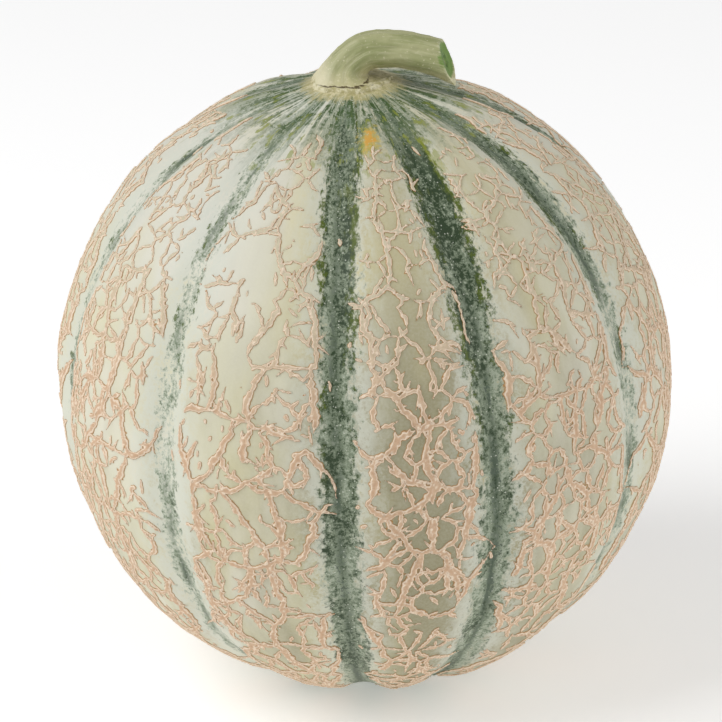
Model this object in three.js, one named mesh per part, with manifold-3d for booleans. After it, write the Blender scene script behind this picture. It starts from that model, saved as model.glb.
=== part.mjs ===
// A whole netted melon of the Charentais kind, standing on its blossom end, with its cut stem on top.
// Millimetres, +Z up. The origin is the middle of the small flat spot that the fruit rests on, and
// the front of the fruit faces -Y.
//
// The fruit is one solid: an ellipsoid with a shallow groove down each suture, and a corky net that
// stands out of the ribs between them. The net runs along the borders of Voronoi cells, whose seeds
// stand in rows round the fruit. Some borders are left bare, so that strands end in points.
// The stem is a second solid. Its foot sits in a shallow seat on the top of the fruit.
import * as THREE from "three";
import { ConvexHull } from "three/addons/math/ConvexHull.js";
import { mergeVertices } from "three/addons/utils/BufferGeometryUtils.js";
import Module from "manifold-3d";

// The body
const EQUATOR_RADIUS = 64.5;
const POLAR_RADIUS = 66.6;
const FLAT_RADIUS = 11.5; // of the spot that it rests on
const FLAT_DROP = POLAR_RADIUS * (1 - Math.sqrt(1 - (FLAT_RADIUS / EQUATOR_RADIUS) ** 2));
const CENTRE_HEIGHT = POLAR_RADIUS - FLAT_DROP;
const TOP_HEIGHT = CENTRE_HEIGHT + POLAR_RADIUS;

// The sutures, in degrees of longitude from the front, anticlockwise seen from above
const SUTURES = [-76.4, -40.1, -5.5, 23.4, 58.3, 95.9, 133.4, 171, 208.5, 246.1];
const GROOVE_DEPTH = 1.6;
const GROOVE_HALF_WIDTH = 4.4;
const GROOVE_FADE_RADIUS = 14; // the grooves run out this near the poles

// The collar of skin round the stem, and the ring of scar round the blossom end
const COLLAR_HEIGHT = 0.8;
const COLLAR_RADIUS = 10;
const SCAR_HEIGHT = 0.5;
const SCAR_RADIUS = 14.5;
const SCAR_HALF_WIDTH = 1.8;

// The net
const SEED_ROWS = 14;
const LAST_SEED_LATITUDE = 78; // degrees
const COLUMN_STEP = 7.8;
const BAND_HALF_WIDTH = 5.2; // bare skin on each side of a suture, at the equator
const SEED_JITTER = 0.36; // of the step between seeds
const STAGGER = 0.25; // of a column, to and fro from row to row
const STRAND_HALF_WIDTH = 1.6;
const STRAND_HEIGHT = 1.0;
const STRAND_HEIGHT_SPREAD = 0.25; // of its height
const STRAND_END_HEIGHT = 0.3; // of its height, where a strand meets no other
const STRAND_BEND = 0.2; // of its length, sideways at its middle
const LOW_STRAND_SHARE = 1.06; // of the borders near the blossom end
const HIGH_STRAND_SHARE = 0.8; // of those near the stem
const TIE_SHARE = 0.84; // of these, where a border runs level
const EDGE_SHARE = 0.8; // of these, beside a suture
const NET_TOP_LATITUDE = 67; // degrees
const NET_BOTTOM_LATITUDE = -75;

// The stem: centre, radius and tilt of its sections, from its foot to past its cut end. Places are
// measured from the top of the fruit, and a tilt of 90 degrees turns a section's axis to +X.
const STEM_SECTIONS = [
  { x: -0.5, y: 0, z: -1.7, radius: 8.3, tilt: 0 },
  { x: -0.5, y: 0, z: 0.1, radius: 8, tilt: 0 },
  { x: -0.9, y: 0, z: 1, radius: 6.2, tilt: 10 },
  { x: -0.9, y: 0, z: 2.7, radius: 4.4, tilt: 26 },
  { x: 0.7, y: 0, z: 4.4, radius: 4, tilt: 43 },
  { x: 3, y: 0.1, z: 5.7, radius: 3.9, tilt: 66 },
  { x: 5.8, y: 0, z: 6.1, radius: 3.9, tilt: 83 },
  { x: 8.8, y: -0.1, z: 6, radius: 3.8, tilt: 92 },
  { x: 12, y: -0.6, z: 5.6, radius: 3.8, tilt: 99 },
  { x: 15.3, y: -1.3, z: 4.9, radius: 3.8, tilt: 105 },
  { x: 18.7, y: -2.1, z: 3.9, radius: 3.9, tilt: 109 },
  { x: 23.2, y: -3.3, z: 2.2, radius: 4, tilt: 111 },
];
const STEM_SIDES = 24;
const STEM_RINGS = 32;
const STEM_RIDGES = 5;
const RIDGE_SHARE = 0.05; // of the radius
const STEM_CUT = new THREE.Vector3(19.3, -2.2, 3.9); // a point of the cut, from the top of the fruit
const STEM_CUT_NORMAL = new THREE.Vector3(0.93, -0.2, 0.32).normalize();
const PITH_RADIUS = 1.1;
const PITH_DEPTH = 1.4;
const SEAT_CLEARANCE = 0.45;
const SEAT_DEPTH = 2.0;

const SKIN_COLOUR = 0xd5d8b6;
const STEM_COLOUR = 0xb4bb80;
const BIG = 400; // the side of a block that cuts away all on one side of a plane

const wasm = await Module();
wasm.setup();

const { degToRad, lerp } = THREE.MathUtils;
const bump = (distance, width) => Math.exp(-((distance / width) ** 2));

// A repeatable number from 0 to 1 for two whole numbers.
function scatter(a, b) {
  const s = Math.sin(a * 127.1 + b * 311.7) * 43758.5453;
  return s - Math.floor(s);
}

// The unit vector at a longitude from the front and a latitude, in radians.
function direction(longitude, latitude) {
  const girth = Math.cos(latitude);
  return new THREE.Vector3(girth * Math.sin(longitude), -girth * Math.cos(longitude), Math.sin(latitude));
}

// How far a direction is from the nearest suture, in millimetres round the fruit.
function sutureDistance(dir) {
  const longitude = Math.atan2(dir.x, -dir.y);
  const turns = SUTURES.map((suture) => {
    const turn = longitude - degToRad(suture);
    return Math.abs(Math.atan2(Math.sin(turn), Math.cos(turn)));
  });
  return Math.min(...turns) * EQUATOR_RADIUS * Math.hypot(dir.x, dir.y);
}

// The height of the collar or of the scar, at a distance from the fruit's axis.
function endHeight(fromAxis, isTop) {
  if (isTop) return COLLAR_HEIGHT * bump(fromAxis, COLLAR_RADIUS);
  return SCAR_HEIGHT * bump(fromAxis - SCAR_RADIUS, SCAR_HALF_WIDTH);
}

// The point of the skin in a direction, raised by a height.
function skinPoint(dir, height = 0) {
  const place = new THREE.Vector3(dir.x, dir.y, 0).multiplyScalar(EQUATOR_RADIUS);
  place.z = dir.z * POLAR_RADIUS;
  const fromAxis = Math.hypot(place.x, place.y);
  const groove =
    GROOVE_DEPTH * bump(sutureDistance(dir), GROOVE_HALF_WIDTH) * (1 - bump(fromAxis, GROOVE_FADE_RADIUS));
  const normal = new THREE.Vector3(dir.x, dir.y, 0).divideScalar(EQUATOR_RADIUS);
  normal.z = dir.z / POLAR_RADIUS;
  place.addScaledVector(normal.normalize(), height + endHeight(fromAxis, dir.z > 0) - groove);
  place.z += CENTRE_HEIGHT;
  return place;
}

// The seeds of the net's cells: each a direction, and whether it stands on a suture or a pole.
function netSeeds() {
  const seeds = [
    { dir: direction(0, Math.PI / 2), bare: true },
    { dir: direction(0, -Math.PI / 2), bare: true },
  ];
  const jitter = (key) => SEED_JITTER * (2 * scatter(seeds.length, key) - 1);
  const rowStep = degToRad(2 * LAST_SEED_LATITUDE) / (SEED_ROWS - 1);
  for (let row = 0; row < SEED_ROWS; row++) {
    const latitude = row * rowStep - degToRad(LAST_SEED_LATITUDE);
    const girth = Math.cos(latitude);
    const band = BAND_HALF_WIDTH / EQUATOR_RADIUS / Math.sqrt(girth);
    const side = row % 2 ? STAGGER : -STAGGER;
    SUTURES.forEach((suture, rib) => {
      const next = SUTURES[(rib + 1) % SUTURES.length];
      const room = degToRad((next - suture + 360) % 360) - 2 * band;
      const columns = Math.round((room * EQUATOR_RADIUS * girth) / COLUMN_STEP);
      seeds.push({ dir: direction(degToRad(suture), latitude), bare: true });
      for (let column = 0; column < columns; column++) {
        const share = (column + 0.5 + side + jitter(1)) / columns;
        const longitude = degToRad(suture) + band + room * share;
        seeds.push({ dir: direction(longitude, latitude + rowStep * jitter(2)), bare: false });
      }
    });
  }
  return seeds;
}

// Whether the border between two cells carries a strand. Most do, but fewer near the stem, beside a
// suture, and where the border runs level.
function hasStrand(seeds, a, b) {
  const sine = (seeds[a].dir.z + seeds[b].dir.z) / 2;
  if (sine > Math.sin(degToRad(NET_TOP_LATITUDE))) return false;
  if (sine < Math.sin(degToRad(NET_BOTTOM_LATITUDE))) return false;
  if (seeds[a].bare && seeds[b].bare) return false;
  const level = Math.abs(seeds[a].dir.z - seeds[b].dir.z) / seeds[a].dir.distanceTo(seeds[b].dir);
  let share = lerp(LOW_STRAND_SHARE, HIGH_STRAND_SHARE, (sine + 1) / 2) * lerp(1, TIE_SHARE, level);
  if (seeds[a].bare || seeds[b].bare) share *= EDGE_SHARE;
  return scatter(Math.min(a, b), Math.max(a, b)) < share;
}

// The fruit's skin with its net, as an open list of triangles that close on each other.
function nettedSkin() {
  const seeds = netSeeds();
  const hull = new ConvexHull().setFromPoints(seeds.map((seed) => seed.dir));
  const indexOf = new Map(seeds.map((seed, i) => [seed.dir, i]));
  const seedAt = (vertex) => indexOf.get(vertex.point);

  // Each face of the hull is a corner where three cells meet.
  const firstEdge = new Map();
  const corners = new Map();
  for (const face of hull.faces) {
    let strands = 0;
    let edge = face.edge;
    do {
      firstEdge.set(seedAt(edge.tail()), edge);
      strands += hasStrand(seeds, seedAt(edge.tail()), seedAt(edge.head()));
      edge = edge.next;
    } while (edge !== face.edge);
    const dir = face.normal.clone().normalize();
    const spread = STRAND_HEIGHT_SPREAD * (2 * scatter(corners.size, 3) - 1);
    const share = strands > 1 ? 1 + spread : STRAND_END_HEIGHT;
    const height = strands ? STRAND_HEIGHT * share : 0;
    corners.set(face, { dir, height, point: skinPoint(dir, height) });
  }

  // The middle of each border that rises anywhere along it.
  const middles = new Map();
  function middleOf(a, b, from, to) {
    if (!from.height && !to.height) return null;
    const [low, high] = a < b ? [a, b] : [b, a];
    const key = low * seeds.length + high;
    if (!middles.has(key)) {
      const sideways = seeds[high].dir.clone().sub(seeds[low].dir).normalize();
      const bend = STRAND_BEND * (2 * scatter(high, low) - 1) * from.dir.distanceTo(to.dir);
      const dir = from.dir.clone().add(to.dir).normalize().addScaledVector(sideways, bend).normalize();
      const height = hasStrand(seeds, a, b) ? (from.height + to.height) / 2 : 0;
      middles.set(key, skinPoint(dir, height));
    }
    return middles.get(key);
  }

  const positions = [];
  const triangle = (...points) => points.forEach((p) => positions.push(p.x, p.y, p.z));
  seeds.forEach((seed, i) => {
    const cell = [];
    const across = [];
    let edge = firstEdge.get(i);
    do {
      cell.push(corners.get(edge.face));
      across.push(seedAt(edge.prev.tail()));
      edge = edge.prev.twin;
    } while (edge !== firstEdge.get(i));

    // Where a corner is raised, the cell's floor begins at the foot of the strand.
    const floor = cell.map((corner) => {
      if (!corner.height) return corner.point;
      const reach = seed.dir.distanceTo(corner.dir) * EQUATOR_RADIUS;
      return skinPoint(corner.dir.clone().lerp(seed.dir, STRAND_HALF_WIDTH / reach).normalize());
    });
    const centre = skinPoint(seed.dir);
    cell.forEach((corner, j) => {
      const k = (j + 1) % cell.length;
      const middle = middleOf(i, across[j], corner, cell[k]);
      if (middle) {
        if (corner.height) triangle(corner.point, middle, floor[j]);
        if (cell[k].height) triangle(middle, cell[k].point, floor[k]);
        triangle(middle, floor[k], floor[j]);
      }
      triangle(floor[j], floor[k], centre);
    });
  });
  const attribute = new THREE.Float32BufferAttribute(positions, 3);
  return new THREE.BufferGeometry().setAttribute("position", attribute);
}

// A geometry as a manifold-3d solid, and the other way.
function solidOf(geometry) {
  const bare = geometry.clone();
  bare.deleteAttribute("normal");
  bare.deleteAttribute("uv");
  const merged = mergeVertices(bare);
  const vertProperties = merged.attributes.position.array;
  const triVerts = new Uint32Array(merged.index.array);
  return new wasm.Manifold(new wasm.Mesh({ numProp: 3, vertProperties, triVerts }));
}
function geometryOf(solid) {
  const { vertProperties, triVerts } = solid.getMesh();
  return new THREE.BufferGeometry()
    .setAttribute("position", new THREE.BufferAttribute(vertProperties, 3))
    .setIndex(new THREE.BufferAttribute(triVerts, 1));
}

// A geometry made round the origin, turned so that its +Z is the normal and moved to the point.
function put(geometry, point, normal) {
  const turn = new THREE.Quaternion().setFromUnitVectors(new THREE.Vector3(0, 0, 1), normal);
  return geometry.applyQuaternion(turn).translate(point.x, point.y, point.z);
}

// A solid without all that lies beyond a plane.
function cutBeyond(solid, point, normal) {
  const block = new THREE.BoxGeometry(BIG, BIG, BIG).translate(0, 0, BIG / 2);
  return solid.subtract(solidOf(put(block, point, normal)));
}

// The seat of the stem's foot: a round pocket that opens upwards.
function stemSeat() {
  const foot = STEM_SECTIONS[0];
  const radius = foot.radius * (1 + RIDGE_SHARE) + SEAT_CLEARANCE;
  const floor = TOP_HEIGHT - SEAT_DEPTH;
  const seat = new THREE.CylinderGeometry(radius, radius, BIG, 2 * STEM_SIDES).rotateX(Math.PI / 2);
  return seat.translate(foot.x, foot.y, floor + BIG / 2);
}

// The fruit, on its flat spot, with the seat for the stem.
function fruit() {
  const whole = solidOf(nettedSkin());
  const standing = cutBeyond(whole, new THREE.Vector3(0, 0, 0), new THREE.Vector3(0, 0, -1));
  return geometryOf(standing.subtract(solidOf(stemSeat())));
}

// A smooth curve through three values of each section of the stem.
const alongStem = (valuesOf) =>
  new THREE.CatmullRomCurve3(STEM_SECTIONS.map((section) => new THREE.Vector3(...valuesOf(section))));

// The whole stem: a cylinder whose rings follow the sections, with a few slight ridges along it.
function wholeStem() {
  const centres = alongStem(({ x, y, z }) => [x, y, z + TOP_HEIGHT]);
  const forms = alongStem(({ radius, tilt }) => [radius, degToRad(tilt), 0]);
  const geometry = new THREE.CylinderGeometry(1, 1, 1, STEM_SIDES, STEM_RINGS);
  const position = geometry.attributes.position;
  for (let i = 0; i < position.count; i++) {
    const along = position.getY(i) + 0.5;
    const { x: radius, y: tilt } = forms.getPoint(along);
    const angle = Math.atan2(position.getX(i), position.getZ(i));
    const share = Math.hypot(position.getX(i), position.getZ(i));
    const reach = share * radius * (1 + RIDGE_SHARE * Math.cos(STEM_RIDGES * angle));
    const outwards = new THREE.Vector3(Math.cos(angle), Math.sin(angle), 0);
    outwards.applyAxisAngle(new THREE.Vector3(0, 1, 0), tilt);
    const place = centres.getPoint(along).addScaledVector(outwards, reach);
    position.setXYZ(i, place.x, place.y, place.z);
  }
  return geometry;
}

// The stem, cut slantwise at its end, with a hollow where its pith has shrunk.
function stem() {
  const cut = STEM_CUT.clone().setZ(STEM_CUT.z + TOP_HEIGHT);
  const trimmed = cutBeyond(solidOf(wholeStem()), cut, STEM_CUT_NORMAL);
  const cone = new THREE.ConeGeometry(2 * PITH_RADIUS, 2 * PITH_DEPTH, STEM_SIDES).rotateX(-Math.PI / 2);
  return geometryOf(trimmed.subtract(solidOf(put(cone, cut, STEM_CUT_NORMAL))));
}

// A named mesh of one geometry.
function piece(name, geometry, color, roughness) {
  const mesh = new THREE.Mesh(geometry, new THREE.MeshStandardMaterial({ color, roughness, metalness: 0 }));
  mesh.name = name;
  return mesh;
}

const melon = new THREE.Group();
melon.add(piece("fruit", fruit(), SKIN_COLOUR, 0.6));
melon.add(piece("stem", stem(), STEM_COLOUR, 0.65));

export default melon;
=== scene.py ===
"""A netted melon with its cut stem, dressed for a studio picture.

The fruit and the stem of the CAD model are replaced by finer pieces of the same form: a smooth rind,
the raised net of each rib, and the stem with its cut end. Sizes are in metres, and the origin is the
middle of the flat spot that the melon rests on.
"""

import logging
import math
from collections import Counter
from dataclasses import dataclass
from enum import Enum
from functools import cached_property
from typing import Any, Callable, Iterable

import bmesh
import bpy
import numpy as np
from mathutils import Matrix, Quaternion, Vector


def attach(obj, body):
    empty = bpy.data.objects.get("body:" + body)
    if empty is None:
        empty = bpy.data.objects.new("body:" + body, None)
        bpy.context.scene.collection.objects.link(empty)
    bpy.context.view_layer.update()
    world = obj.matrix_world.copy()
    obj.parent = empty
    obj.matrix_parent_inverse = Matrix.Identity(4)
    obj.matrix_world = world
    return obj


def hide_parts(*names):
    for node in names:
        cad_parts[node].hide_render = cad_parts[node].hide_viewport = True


log = logging.getLogger("melon")
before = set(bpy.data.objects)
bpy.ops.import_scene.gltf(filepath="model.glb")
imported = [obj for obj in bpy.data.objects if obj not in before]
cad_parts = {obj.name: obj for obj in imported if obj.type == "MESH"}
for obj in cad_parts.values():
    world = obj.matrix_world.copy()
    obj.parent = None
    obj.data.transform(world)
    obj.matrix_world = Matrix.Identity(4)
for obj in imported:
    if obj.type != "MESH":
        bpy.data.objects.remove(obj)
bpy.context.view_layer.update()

Array = np.ndarray
Mesh = bpy.types.Mesh
Object = bpy.types.Object

MM = 0.001
SEED = 7
FAR = 9.0  # stored where no strand is near

# One value for each suture, and for each rib from the suture of its number
BAND_STRENGTHS = (0.2, 0.28, 0.78, 0.76, 0.34, 0.75, 0.9, 0.55, 0.8, 0.5)
TOP_STRENGTHS = (0.26, 0.28, 0.95, 1.2, 0.8, 0.9, 1.0, 0.85, 0.95, 0.85)
# The rib tones are each rib's own tone, with painted light: the left ribs, where the key light falls, are
# set paler
RIB_TONES_AND_LIGHT = (0.14, 0.44, 1.05, 0.56, 0.46, 0.35, 0.6, 0.3, 0.5, 0.3)
RIB_NETS = (0.04, -0.06, 0.1, 0.12, 0.12, 0.0, 0.1, -0.05, 0.05, 0.05)


def scatter(a: float, b: float) -> float:
    """Gives a repeatable number from 0 to 1 for two numbers, as the CAD source does."""
    s = math.sin(a * 127.1 + b * 311.7) * 43758.5453
    return s - math.floor(s)


def bump(distance: Array | float, width: float) -> Array | float:
    """Gives a smooth hump: 1 at no distance, and near 0 past twice the width."""
    return np.exp(-((distance / width) ** 2))


def ease(value: Array, low: float, high: float) -> Array:
    """Gives 0 at low, 1 at high, and a smooth rise between. low may be above high."""
    share = np.clip((value - low) / (high - low), 0, 1)
    return share * share * (3 - 2 * share)


def unit(vectors: Array) -> Array:
    """Scales each row to length 1."""
    return vectors / np.linalg.norm(vectors, axis=-1, keepdims=True)


def direction(longitude: Array | float, latitude: Array | float) -> Array:
    """Gives unit vectors for radians from the front, anticlockwise, and above the equator."""
    girth = np.cos(latitude)
    return np.stack([girth * np.sin(longitude), -girth * np.cos(longitude), np.sin(latitude)], axis=-1)


@dataclass(frozen=True)
class Waves:
    """A smooth random field: a sum of sine waves of about one length, in random directions."""

    length: float
    key: int
    count: int = 14
    spread: tuple[float, float] = (0.7, 1.5)
    peak: float = 1.6

    def at(self, points: Array) -> Array:
        """Reads the field.

        Args:
            points: Places in metres, one a row.

        Returns:
            Values of mostly -1 to 1, one for each place.
        """
        draw = np.random.default_rng(SEED + self.key)
        headings = unit(draw.normal(size=(self.count, 3)))
        numbers = 2 * math.pi / (self.length * draw.uniform(*self.spread, self.count))
        phases = draw.uniform(0, 2 * math.pi, self.count)
        total = np.zeros(points.shape[:-1])
        for heading, number, phase in zip(headings, numbers, phases):
            total += np.sin(points @ heading * number + phase)
        return total / math.sqrt(self.count / 2) / self.peak


@dataclass(frozen=True)
class MelonForm:
    """The form of the fruit, with the same sizes as the CAD source."""

    equator_radius: float = 64.5 * MM
    polar_radius: float = 66.6 * MM
    flat_radius: float = 11.5 * MM
    sutures: tuple[float, ...] = (-76.4, -40.1, -5.5, 23.4, 58.3, 95.9, 133.4, 171, 208.5, 246.1)
    groove_depth: float = 1.6 * MM
    groove_half_width: float = 4.4 * MM
    groove_fade_radius: float = 14 * MM
    collar_height: float = 0.8 * MM
    collar_radius: float = 10 * MM
    scar_height: float = 0.5 * MM
    scar_radius: float = 14.5 * MM
    scar_half_width: float = 1.8 * MM
    even_radius: float = 6 * MM
    uneven_radius: float = 20 * MM
    lump_height: float = 0.22 * MM
    lumps: Waves = Waves(length=24 * MM, key=1)
    dent_height: float = 0.05 * MM
    dents: Waves = Waves(length=6 * MM, key=2, count=24)

    @property
    def centre_height(self) -> float:
        """The height of the fruit's middle above the surface that it stands on."""
        return self.polar_radius * math.sqrt(1 - (self.flat_radius / self.equator_radius) ** 2)

    @property
    def top_height(self) -> float:
        """The height of the pole at the stem."""
        return self.centre_height + self.polar_radius

    @property
    def half_gap(self) -> float:
        """Degrees from a suture to the middle of an even rib."""
        return 180 / len(self.sutures)

    def suture_distance(self, directions: Array) -> Array:
        """Measures how far directions are from the nearest suture.

        Args:
            directions: Unit vectors, one a row.

        Returns:
            Distances round the fruit, in metres.
        """
        longitude = np.arctan2(directions[..., 0], -directions[..., 1])
        nearest = np.full(longitude.shape, math.pi)
        for suture in self.sutures:
            turn = longitude - math.radians(suture)
            nearest = np.minimum(nearest, np.abs(np.arctan2(np.sin(turn), np.cos(turn))))
        return nearest * self.equator_radius * np.hypot(directions[..., 0], directions[..., 1])

    def round_values(self, directions: Array, values: tuple[float, ...], shift: float = 0.0) -> Array:
        """Spreads the values of the sutures round the fruit, or of the ribs with half a gap as shift."""
        longitude = np.degrees(np.arctan2(directions[..., 0], -directions[..., 1]))
        return np.interp(longitude, np.array(self.sutures) + shift, values, period=360)

    def place(self, directions: Array, height: Array | float = 0.0) -> Array:
        """Gives points of the skin.

        Args:
            directions: Unit vectors, one a row.
            height: How far the points stand out of the skin.

        Returns:
            Places in metres, one a row.
        """
        radii = np.array([self.equator_radius, self.equator_radius, self.polar_radius])
        places = directions * radii
        normals = unit(directions / radii)
        from_axis = np.hypot(places[..., 0], places[..., 1])
        groove = self.groove_depth * bump(self.suture_distance(directions), self.groove_half_width)
        groove = groove * (1 - bump(from_axis, self.groove_fade_radius))
        collar = self.collar_height * bump(from_axis, self.collar_radius)
        scar = self.scar_height * bump(from_axis - self.scar_radius, self.scar_half_width)
        ends = np.where(directions[..., 2] > 0, collar, scar)
        uneven = self.lump_height * self.lumps.at(places) + self.dent_height * self.dents.at(places)
        uneven = uneven * ease(from_axis, self.even_radius, self.uneven_radius)
        places = places + normals * (height + ends + uneven - groove)[..., None]
        places[..., 2] = np.maximum(places[..., 2] + self.centre_height, 0)
        return places


FORM = MelonForm()
RADIUS = FORM.equator_radius


@dataclass(frozen=True)
class Seed:
    """The middle of a cell of the net. A bare one stands on a suture or a pole."""

    place: Array
    bare: bool


@dataclass(frozen=True)
class Border:
    """The border between two cells, given by number, from one corner to another.

    Attributes:
        ends: The numbers of its two corners.
        sideways: The direction from the low cell's middle to the high cell's.
    """

    low: int
    high: int
    ends: tuple[int, int]
    start: Array
    stop: Array
    sideways: Array


@dataclass
class Strand:
    """One strand of the net: directions along its middle, and its half width at each."""

    course: Array
    half_width: Array
    height: float


@dataclass(frozen=True)
class CellRows:
    """Rows of cell middles round the fruit, a few to a rib."""

    rows: int
    last_latitude: float
    column_step: float
    band_half_width: float
    jitter: float
    stagger: float = 0.25
    key: int = 0

    def seeds(self) -> list[Seed]:
        """Places the middles.

        Returns:
            The middles, in the order in which the CAD source makes them.
        """
        seeds = [Seed(direction(0, math.pi / 2), True), Seed(direction(0, -math.pi / 2), True)]
        row_step = math.radians(2 * self.last_latitude) / (self.rows - 1)
        for row in range(self.rows):
            latitude = row * row_step - math.radians(self.last_latitude)
            girth = math.cos(latitude)
            band = self.band_half_width / RADIUS / math.sqrt(girth)
            side = self.stagger if row % 2 else -self.stagger
            for rib, suture in enumerate(FORM.sutures):
                following = FORM.sutures[(rib + 1) % len(FORM.sutures)]
                room = math.radians((following - suture + 360) % 360) - 2 * band
                columns = math.floor(room * RADIUS * girth / self.column_step + 0.5)
                seeds.append(Seed(direction(math.radians(suture), latitude), True))
                for column in range(columns):
                    shift = self.jitter * (2 * scatter(len(seeds), 1 + self.key) - 1)
                    lift = self.jitter * (2 * scatter(len(seeds), 2 + self.key) - 1)
                    share = (column + 0.5 + side + shift) / columns
                    longitude = math.radians(suture) + band + room * share
                    seeds.append(Seed(direction(longitude, latitude + row_step * lift), False))
        return seeds


def cell_borders(seeds: list[Seed]) -> list[Border]:
    """Finds the borders of the cells round the given middles.

    The hull of the middles has a face for each corner where three cells meet, and an edge for each
    border between two.

    Args:
        seeds: The cells' middles.

    Returns:
        All the borders.
    """
    bm = bmesh.new()
    for number, seed in enumerate(seeds):
        bm.verts.new(seed.place).index = number
    bmesh.ops.convex_hull(bm, input=bm.verts)
    bm.faces.ensure_lookup_table()
    bm.faces.index_update()
    corners = {}
    for face in bm.faces:
        face.normal_update()
        outwards = face.normal if face.normal.dot(face.calc_center_median()) > 0 else -face.normal
        corners[face.index] = np.array(outwards)
    borders = []
    for edge in bm.edges:
        if len(edge.link_faces) != 2:
            continue
        low, high = sorted(vert.index for vert in edge.verts)
        first, second = (face.index for face in edge.link_faces)
        sideways = unit(seeds[high].place - seeds[low].place)
        borders.append(Border(low, high, (first, second), corners[first], corners[second], sideways))
    bm.free()
    return borders


@dataclass(frozen=True)
class StrandRule:
    """Which borders of some cells carry a strand, and how wide and high it is.

    Attributes:
        draw: Keeps this rule's draws apart from another's.
    """

    cells: CellRows
    bend: float
    top_latitude: float
    bottom_latitude: float
    half_width: float
    height: float
    draw: float = 0.0

    def share(self, border: Border, seeds: list[Seed]) -> float:
        """Gives how likely a border is to carry a strand."""
        raise NotImplementedError

    def keeps(self, border: Border, seeds: list[Seed]) -> bool:
        """Tells whether a border carries a strand."""
        return scatter(border.low, border.high + self.draw) < self.share(border, seeds)

    def bend_of(self, border: Border) -> float:
        """Gives how far a strand bows sideways, as a share of its length."""
        return self.bend * (2 * scatter(border.high, border.low + self.draw) - 1)


@dataclass(frozen=True)
class MainStrands(StrandRule):
    """The strands that the CAD source raises, on the borders of its cells."""

    cells: CellRows = CellRows(
        rows=14, last_latitude=78, column_step=7.8 * MM, band_half_width=5.2 * MM, jitter=0.36
    )
    bend: float = 0.12
    top_latitude: float = 67
    bottom_latitude: float = -75
    half_width: float = 0.68 * MM
    height: float = 0.38 * MM
    low_share: float = 1.06
    high_share: float = 0.8
    tie_share: float = 0.84
    edge_share: float = 0.8

    def share(self, border: Border, seeds: list[Seed]) -> float:
        """Gives how likely a border is to carry a strand, by the rule of the CAD source.

        Args:
            border: The border.
            seeds: The cells' middles.

        Returns:
            The share of such borders that carry one.
        """
        low, high = seeds[border.low], seeds[border.high]
        sine = (low.place[2] + high.place[2]) / 2
        lowest, highest = (math.sin(math.radians(end)) for end in (self.bottom_latitude, self.top_latitude))
        if not lowest <= sine <= highest or (low.bare and high.bare):
            return 0.0
        level = abs(low.place[2] - high.place[2]) / float(np.linalg.norm(low.place - high.place))
        share = self.low_share + (self.high_share - self.low_share) * (sine + 1) / 2
        share *= 1 + (self.tie_share - 1) * level
        return share * self.edge_share if low.bare or high.bare else share


@dataclass(frozen=True)
class FineStrands(StrandRule):
    """The thinner strands between the main ones. They are denser beside the sutures."""

    cells: CellRows = CellRows(
        rows=29, last_latitude=76, column_step=3.3 * MM, band_half_width=4.4 * MM, jitter=0.42, key=10
    )
    bend: float = 0.15
    top_latitude: float = 66
    bottom_latitude: float = -76
    half_width: float = 0.5 * MM
    height: float = 0.29 * MM
    draw: float = 0.5
    top_share: float = 0.82
    bottom_share: float = 0.84
    side_share: float = 0.14
    side_distance: float = 7 * MM
    side_reach: float = 4 * MM
    patch_share: float = 0.32
    patches: Waves = Waves(length=34 * MM, key=87)
    level_share: float = 0.62

    def share(self, border: Border, seeds: list[Seed]) -> float:
        """Gives how likely a border is to carry a strand.

        Args:
            border: The border.
            seeds: The cells' middles.

        Returns:
            The share of such borders that carry one.
        """
        middle = unit(border.start + border.stop)
        latitude = math.degrees(math.asin(middle[2]))
        if not self.bottom_latitude <= latitude <= self.top_latitude:
            return 0.0
        if seeds[border.low].bare or seeds[border.high].bare:
            return 0.0
        low_down = float(ease(np.array(latitude), self.top_latitude, self.bottom_latitude))
        share = self.top_share + (self.bottom_share - self.top_share) * low_down
        from_side = FORM.suture_distance(middle) - self.side_distance
        share += self.side_share * float(bump(from_side, self.side_reach))
        share += self.patch_share * float(self.patches.at(middle * RADIUS))
        share += float(FORM.round_values(middle, RIB_NETS, FORM.half_gap))
        upright = abs(unit(border.stop - border.start)[2]) / math.cos(math.radians(latitude))
        return share * (self.level_share + (1 - self.level_share) * min(upright, 1))


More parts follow.
